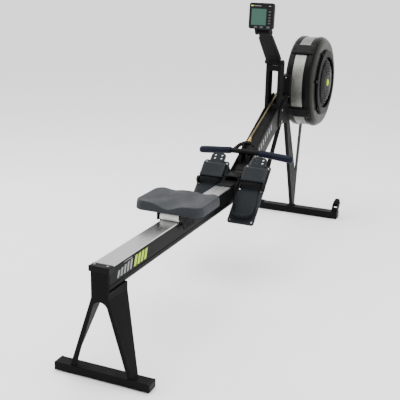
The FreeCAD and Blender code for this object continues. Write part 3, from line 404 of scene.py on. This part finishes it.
def board_finish():
    """Slate moulded plastic with fine slanting ribs on the toe housing."""
    paint = Paint("board_slate", (0.0085, 0.0105, 0.0125), 0.5, Specular_IOR_Level=0.12)
    paint.tint(0.12, 12)
    paint.wear((0.03, 0.034, 0.038), 0.6)
    paint.rough_range(0.44, 0.58, 25)
    x, y, z = paint.axes()
    lean = math.radians(BOARD_LEAN)
    shift_x = paint.math("SUBTRACT", x, station(BOARD_STATION))
    shift_z = paint.math("SUBTRACT", z, BOARD_HEIGHT)
    run = paint.math("ADD", paint.product(shift_x, math.cos(lean)),
                     paint.product(shift_z, math.sin(lean)))
    lift = paint.math("SUBTRACT", paint.product(shift_z, math.cos(lean)),
                      paint.product(shift_x, math.sin(lean)))
    side = paint.math("SUBTRACT", paint.math("ABSOLUTE", y), BOARD_SIDE)
    slant = paint.math("ADD", run, paint.product(y, 0.7))
    rib = paint.math("SINE", paint.product(slant, math.tau / 0.0045))
    panel = paint.product(paint.span(run, 0.234, 0.236), paint.span(run, 0.293, 0.291),
                          paint.span(paint.math("ABSOLUTE", side), 0.050, 0.048),
                          paint.span(lift, 0.020, 0.022))
    relief = paint.product(panel, paint.span(rib, -1, 1, -1, 0.2))
    paint.soften(0.002)
    paint.bump(paint.noise(1200, 2), 0.00012, 0.7)
    paint.bump(relief, 0.0009, 1.0)
    return paint.mat


def chain_finish():
    """Nickel and brass links: pins and waisted plates repeated along the run."""
    paint = Paint("chain_links", (0.4, 0.34, 0.22), 0.34, 1.0)
    x, y, _ = paint.axes()
    link = paint.math("FRACT", paint.product(x, 1.06 / CHAIN_PITCH))
    middle = paint.math("ABSOLUTE", paint.math("SUBTRACT", link, 0.5))
    gap = paint.span(middle, 0.10, 0.17)
    plate = paint.span(paint.math("ABSOLUTE", y), 0.0014, 0.0019)
    solid = paint.math("MAXIMUM", gap, plate)
    metal = paint.blend(paint.span(paint.noise(200, 3), 0.3, 0.7), (0.10, 0.075, 0.035),
                        (0.17, 0.135, 0.07))
    out = paint.blend(solid, (0.02, 0.018, 0.014), metal)
    paint.link(out, paint.shader.inputs["Base Color"])
    paint.rough_range(0.28, 0.42, 300)
    paint.bump(solid, 0.0008, 0.8)
    return paint.mat


def screen_finish():
    """Grey-green reflective display with faint unlit segments."""
    paint = Paint("display_glass", (0.07, 0.145, 0.115), 0.3, 0.0, Specular_IOR_Level=0.15)
    _, y, z = paint.axes()
    column = paint.math("FRACT", paint.product(y, 1 / 0.013))
    line = paint.math("FRACT", paint.product(z, 1 / 0.017))
    block = paint.product(paint.span(column, 0.18, 0.24), paint.span(column, 0.82, 0.76),
                          paint.span(line, 0.2, 0.26), paint.span(line, 0.8, 0.74), 0.35)
    out = paint.blend(block, (0.030, 0.072, 0.056), (0.026, 0.062, 0.048))
    paint.link(out, paint.shader.inputs["Base Color"])
    paint.rough_range(0.16, 0.26, 40)
    paint.bump(paint.noise(400, 2), 0.00003, 0.4)
    return paint.mat


def seat_finish():
    """Firm moulded seat skin: slate grey with a fine pebble."""
    paint = Paint("seat_skin", (0.017, 0.0192, 0.0228), 0.5, Specular_IOR_Level=0.16)
    paint.tint(0.08, 7)
    paint.wear((0.045, 0.05, 0.058), 0.3)
    paint.rough_range(0.5, 0.64, 22)
    paint.bump(paint.noise(1100, 3), 0.00016, 0.6)
    return paint.mat


def grip_finish():
    """Navy rubber with a fine moulded texture."""
    paint = Paint("grip_navy", (0.0028, 0.0042, 0.0115), 0.48, Specular_IOR_Level=0.09)
    paint.tint(0.15, 18)
    paint.wear((0.018, 0.022, 0.045), 0.3)
    paint.rough_range(0.44, 0.58, 30)
    paint.bump(paint.noise(1500, 2), 0.00012, 0.7)
    return paint.mat


def webbing_finish():
    """Black woven webbing: a fine basket of crossing yarns."""
    paint = Paint("webbing_black", (0.003, 0.003, 0.003), 0.85, 0.0, Specular_IOR_Level=0.08)
    _, y, z = paint.axes()
    first = paint.product(paint.math("ADD", y, z), math.tau / YARN_PITCH)
    other = paint.product(paint.math("SUBTRACT", y, z), math.tau / YARN_PITCH)
    weave = paint.product(paint.math("SINE", first), paint.math("SINE", other))
    tone = paint.blend(paint.span(weave, -1, 1), (0.0012, 0.0012, 0.0013),
                       (0.0045, 0.0045, 0.005))
    paint.link(tone, paint.shader.inputs["Base Color"])
    paint.rough_range(0.78, 0.92, 60)
    paint.bump(weave, 0.0004, 0.9)
    return paint.mat


def print_finish(name, color):
    """Printed graphic film, slightly uneven and scuffed."""
    paint = Paint(name, color, 0.45)
    paint.tint(0.08, 30)
    paint.rough_range(0.38, 0.55, 60)
    paint.bump(paint.noise(900, 2), 0.00005, 0.5)
    return paint.mat


# ---------------------------------------------------------------------------------------
# Detailed pieces


def add_piece(name, shape, mat, body, stands_for=()):
    """Turn a bmesh into a piece that rides on a body."""
    bmesh.ops.recalc_face_normals(shape, faces=shape.faces)
    mesh = bpy.data.meshes.new(name)
    shape.to_mesh(mesh)
    shape.free()
    for face in mesh.polygons:
        face.use_smooth = True
    item = bpy.data.objects.new(name, mesh)
    item.data.materials.append(mat)
    bpy.context.collection.objects.link(item)
    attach(item, body)
    if stands_for:
        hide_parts(*stands_for)
    return item


def subdivide(item):
    """Round a piece off with one level of subdivision."""
    smooth = item.modifiers.new("smooth", "SUBSURF")
    smooth.levels = 1
    smooth.render_levels = 1


def rings_to_shape(shape, rings):
    """Join rings of points, each as long as the next, into one closed skin."""
    rows = [[shape.verts.new(point) for point in ring] for ring in rings]
    count = len(rows[0])
    for row, after in zip(rows, rows[1:]):
        for index in range(count):
            nxt = (index + 1) % count
            shape.faces.new((row[index], row[nxt], after[nxt], after[index]))
    shape.faces.new(list(reversed(rows[0])))
    shape.faces.new(rows[-1])


def ease(value, low, high):
    """Rise smoothly from 0 to 1 between two values."""
    t = min(1.0, max(0.0, (value - low) / (high - low)))
    return t * t * (3 - 2 * t)


def seat_height(u, v):
    """Height of the seat above its lowest face: bowls, tailbone notch and raised sides."""
    side = abs(v)
    bowls = 0.0085 * math.exp(-((side - 0.40) / 0.26) ** 2) * math.exp(-((u + 0.10) / 0.55) ** 2)
    notch = 0.0225 * math.exp(-(v / 0.30) ** 2) * ease(-u, 0.0, 0.95)
    valley = 0.0060 * math.exp(-(v / 0.22) ** 2) * ease(0.7 - u, 0.0, 1.0)
    front = 0.0070 * math.exp(-((side - 0.48) / 0.2) ** 2) * ease(u, 0.2, 1.0)
    return 0.0415 - bowls - notch - valley * (1 - ease(-u, 0.15, 1.0)) - front


def seat_outline(half_x, half_y, corner, count):
    """Points of a rounded rectangle about the origin: half on the corners, half between."""
    points = []
    quarter = count // 4
    flat_x, flat_y = half_x - corner, half_y - corner
    centres = ((flat_x, flat_y), (-flat_x, flat_y), (-flat_x, -flat_y), (flat_x, -flat_y))
    arc = quarter // 2
    for index, (cx, cy) in enumerate(centres):
        start = index * math.pi / 2
        for step in range(arc + 1):
            angle = start + math.pi / 2 * step / arc
            points.append((cx + corner * math.cos(angle), cy + corner * math.sin(angle)))
        nx, ny = centres[(index + 1) % 4]
        end = start + math.pi / 2
        here = points[-1]
        there = (nx + corner * math.cos(end), ny + corner * math.sin(end))
        for step in range(1, quarter - arc):
            share = step / (quarter - arc)
            points.append((here[0] + (there[0] - here[0]) * share,
                           here[1] + (there[1] - here[1]) * share))
    return points


def make_seat():
    """The contoured seat, one closed form with sloping sides and a firm upper edge."""
    low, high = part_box("seat_pad")
    middle = (low + high) / 2
    half_x = (high.x - low.x) / 2 - 0.001
    half_y = (high.y - low.y) / 2 - 0.001
    outline = seat_outline(half_x, half_y, 0.042, 112)
    rings = []
    for scale, lift in ((0.30, 0.0010), (0.80, 0.0010), (0.960, 0.0010), (0.990, 0.0022),
                        (0.998, 0.0050)):
        rings.append([Vector((middle.x + x * scale, middle.y + y * scale, low.z + lift))
                      for x, y in outline])
    for scale, sink in ((0.984, 0.0100), (0.969, 0.0030), (0.960, 0.0009), (0.948, 0.0001),
                        (0.92, 0.0), (0.86, 0.0), (0.78, 0.0), (0.69, 0.0), (0.59, 0.0),
                        (0.48, 0.0), (0.36, 0.0), (0.23, 0.0), (0.10, 0.0)):
        ring = []
        for x, y in outline:
            u, v = x * scale / half_x, y * scale / half_y
            lift = seat_height(u / 0.96, v / 0.96) - sink
            ring.append(Vector((middle.x + x * scale, middle.y + y * scale, low.z + lift)))
        rings.append(ring)
    shape = bmesh.new()
    rings_to_shape(shape, rings)
    seat = add_piece("seat_cushion", shape, seat_finish(), "seat", ("seat_pad",))
    subdivide(seat)


def make_grips():
    """Two tapering rubber grips that droop slightly away from the handle's middle."""
    mat = grip_finish()
    low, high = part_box("handle_grips")
    mid_x = (low.x + high.x) / 2
    drop = math.tan(math.radians(4.65))
    root_side, root_height = 0.073, 0.548
    start, end = 0.0755, high.y - 0.001
    profile = ((0.0, 0.0095), (0.0, 0.0140), (0.004, 0.0165), (0.03, 0.0172), (0.25, 0.0168),
               (0.55, 0.0180), (0.82, 0.0183), (0.93, 0.0176), (0.975, 0.0145), (0.994, 0.0090),
               (1.0, 0.0035))
    for side, sign in SIDES:
        rings = []
        for share, radius in profile:
            y = start + (end - start) * share
            z = root_height - drop * (y - root_side)
            rings.append([Vector((mid_x + radius * math.cos(a), y * sign,
                                  z + radius * math.sin(a)))
                          for a in (math.tau * k / 40 for k in range(40))])
        shape = bmesh.new()
        rings_to_shape(shape, rings)
        nodes = ("handle_grips",) if sign > 0 else ()
        grip = add_piece(f"grip_{side}", shape, mat, "handle", nodes)
        subdivide(grip)


def make_chain():
    """The chain as one fixed piece: it stays on the sprocket and in the guide."""
    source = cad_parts["drive_chain"]
    shape = bmesh.new()
    shape.from_mesh(source.data)
    shape.transform(source.matrix_world)
    mesh = bpy.data.meshes.new("pull_chain")
    shape.to_mesh(mesh)
    shape.free()
    mesh.materials.append(chain_finish())
    item = bpy.data.objects.new("pull_chain", mesh)
    bpy.context.collection.objects.link(item)
    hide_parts("drive_chain")
    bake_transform(item)


def board_turn(sign):
    """Return the transform from a footboard's own axes to the machine's."""
    spot = Vector((station(BOARD_STATION), BOARD_SIDE * sign, BOARD_HEIGHT))
    return Matrix.Translation(spot) @ Matrix.Rotation(math.radians(-BOARD_LEAN), 4, "Y")


def ribbon(shape, path, x_low, x_high, thick, turn):
    """Sweep a flat webbing section along a path of (y, z) points in a board's axes."""
    edge = 0.0008
    rings = []
    for index, (y, z) in enumerate(path):
        before = path[max(0, index - 1)]
        after = path[min(len(path) - 1, index + 1)]
        along = Vector((after[0] - before[0], after[1] - before[1])).normalized()
        out = Vector((-along.y, along.x)) * thick / 2
        sway = 0.0006 * math.sin(index * 0.9)
        section = []
        for x, side in ((x_low, -1), (x_low - edge, 0), (x_low, 1), (x_high, 1),
                        (x_high + edge, 0), (x_high, -1)):
            spot = Vector((x + sway, y + out.x * side, z + out.y * side))
            section.append(turn @ spot)
        rings.append(section)
    rings_to_shape(shape, rings)


def make_straps():
    """Webbing over each foot, with its loose tail turned down outside the buckle."""
    mat = webbing_finish()
    for side, sign in SIDES:
        turn = board_turn(sign)
        path = []
        for step in range(49):
            angle = math.pi * step / 48
            c, n = math.cos(angle), math.sin(angle)
            path.append((math.copysign(abs(c) ** 0.55, c) * 0.0535, 0.0015 + 0.0255 * n ** 0.62))
        shape = bmesh.new()
        ribbon(shape, path, 0.189, 0.211, 0.0024, turn)
        tail = []
        for step in range(16):
            share = step / 15
            tail.append((sign * (0.0648 - 0.0008 * math.sin(share * math.pi)),
                         0.024 - 0.032 * share))
        ribbon(shape, tail, 0.190, 0.212, 0.0016, turn)
        nodes = ("foot_straps",) if sign > 0 else ()
        add_piece(f"foot_strap_{side}", shape, mat, "base", nodes)


def slanted_bar(shape, origin, along, across, start, width, low, high, lean, out):
    """Add one thin leaning bar to a printed graphic."""
    corners = ((start, low), (start + width, low), (start + width + lean, high),
               (start + lean, high))
    front = [shape.verts.new(origin + along * u + across * v + out * 0.00035) for u, v in corners]
    back = [shape.verts.new(origin + along * u + across * v + out * 0.00003) for u, v in corners]
    shape.faces.new(front)
    shape.faces.new(list(reversed(back)))
    for index in range(4):
        nxt = (index + 1) % 4
        shape.faces.new((front[index], back[index], back[nxt], front[nxt]))


def make_graphics():
    """Plain leaning bars on the rail and frame, and two plain marks on the monitor."""
    pale = print_finish("print_pale", (0.17, 0.175, 0.18))
    lime = print_finish("print_lime", (0.34, 0.50, 0.003))
    level = Vector((1, 0, 0))
    rise = Vector((0, 0, 1))
    frame_rise = 0.4934
    slope = Vector((1, 0, frame_rise)).normalized()
    square = Vector((-slope.z, 0, slope.x))
    for side, sign in SIDES:
        out = Vector((0, sign, 0))
        rail = Vector((station(0.066), 0.035 * sign, 0.381))
        grey_bars = bmesh.new()
        for k in range(5):
            slanted_bar(grey_bars, rail, level, rise, 0.023 * k, 0.014, 0.0, 0.026 + 0.003 * k,
                        0.010, out)
        slanted_bar(grey_bars, rail, level, rise, 0.050, 0.060, 0.042, 0.0445, 0.001, out)
        add_piece(f"rail_bars_pale_{side}", grey_bars, pale, "base")
        lime_bars = bmesh.new()
        for k in range(4):
            slanted_bar(lime_bars, rail, level, rise, 0.122 + 0.026 * k, 0.018, 0.0, 0.040,
                        0.014, out)
        add_piece(f"rail_bars_lime_{side}", lime_bars, lime, "base")
        frame_bars = bmesh.new()
        spot = Vector((station(1.450), 0.040 * sign, 0.484))
        for k in range(9):
            slanted_bar(frame_bars, spot, slope, square, 0.032 * k, 0.015, 0.012, 0.040,
                        0.007, out)
        add_piece(f"frame_bars_{side}", frame_bars, pale, "base")
    face = Matrix.Translation(Vector((station(1.578), 0, 1.1955)))
    face = face @ Matrix.Rotation(math.radians(4), 4, "Y")
    spot = face @ Vector((-0.019, 0, 0))
    across = Vector((0, -1, 0))
    tall = (face.to_3x3() @ Vector((0, 0, 1))).normalized()
    toward = (face.to_3x3() @ Vector((-1, 0, 0))).normalized()
    mark = bmesh.new()
    slanted_bar(mark, spot, across, tall, -0.055, 0.013, 0.0455, 0.0505, 0.002, toward)
    add_piece("display_mark_lime", mark, lime, "monitor")
    line = bmesh.new()
    slanted_bar(line, spot, across, tall, -0.037, 0.036, 0.0465, 0.0490, 0.0, toward)
    slanted_bar(line, spot, across, tall, 0.038, 0.011, 0.0455, 0.0490, 0.0, toward)
    add_piece("display_mark_pale", line, pale, "monitor")


# ---------------------------------------------------------------------------------------
# Camera, light, floor


def set_camera():
    """A camera behind and to the right of the rower, a little above the seat."""
    data = bpy.data.cameras.new("camera")
    data.sensor_width = 36
    data.lens = 70.16
    data.clip_start = 0.05
    data.clip_end = 120
    item = bpy.data.objects.new("camera", data)
    bpy.context.collection.objects.link(item)
    yaw, pitch, roll = 0.410, 0.297, 0.021
    forward = Vector((math.cos(yaw) * math.cos(pitch), math.sin(yaw) * math.cos(pitch),
                      -math.sin(pitch)))
    right = Vector((math.sin(yaw), -math.cos(yaw), 0))
    up = right.cross(forward)
    side = math.cos(roll) * right + math.sin(roll) * up
    top = -math.sin(roll) * right + math.cos(roll) * up
    turn = Matrix((side, top, -forward)).transposed().to_4x4()
    spot = Vector((station(-2.1322), -1.3001, 1.4458))
    item.matrix_world = Matrix.Translation(spot) @ turn
    bpy.context.scene.camera = item


def set_light():
    """Soft boxes on both sides, one overhead and a bright even surround."""
    world = bpy.data.worlds.new("studio")
    bpy.context.scene.world = world
    world.use_nodes = True
    background = world.node_tree.nodes["Background"]
    background.inputs["Color"].default_value = (1, 1, 1, 1)
    background.inputs["Strength"].default_value = 1.75
    boxes = (
        ("overhead", (0.0, 0.3, 3.4), (0.0, 0.0, 0.4), 3.2, 130),
        ("left_box", (-1.2, 3.2, 2.0), (0.1, 0.0, 0.5), 2.4, 70),
        ("right_box", (-0.6, -3.4, 1.8), (0.2, 0.0, 0.5), 2.0, 35),
    )
    for name, spot, aim, size, power in boxes:
        data = bpy.data.lights.new(name, "AREA")
        data.shape = "SQUARE"
        data.size = size
        data.energy = power
        item = bpy.data.objects.new(name, data)
        item.location = spot
        item.rotation_euler = (Vector(aim) - Vector(spot)).to_track_quat("-Z", "Y").to_euler()
        bpy.context.collection.objects.link(item)


def set_floor():
    """A wide pale floor."""
    paint = Paint("floor_pale", (0.9, 0.9, 0.9), 0.6)
    paint.tint(0.01, 3)
    mesh = bpy.data.meshes.new("floor")
    shape = bmesh.new()
    bmesh.ops.create_grid(shape, x_segments=8, y_segments=8, size=50)
    shape.to_mesh(mesh)
    shape.free()
    floor = bpy.data.objects.new("floor", mesh)
    floor.data.materials.append(paint.mat)
    bpy.context.collection.objects.link(floor)


set_camera()
set_light()
set_floor()
dress_frame()
make_seat()
make_grips()
make_chain()
make_straps()
make_graphics()
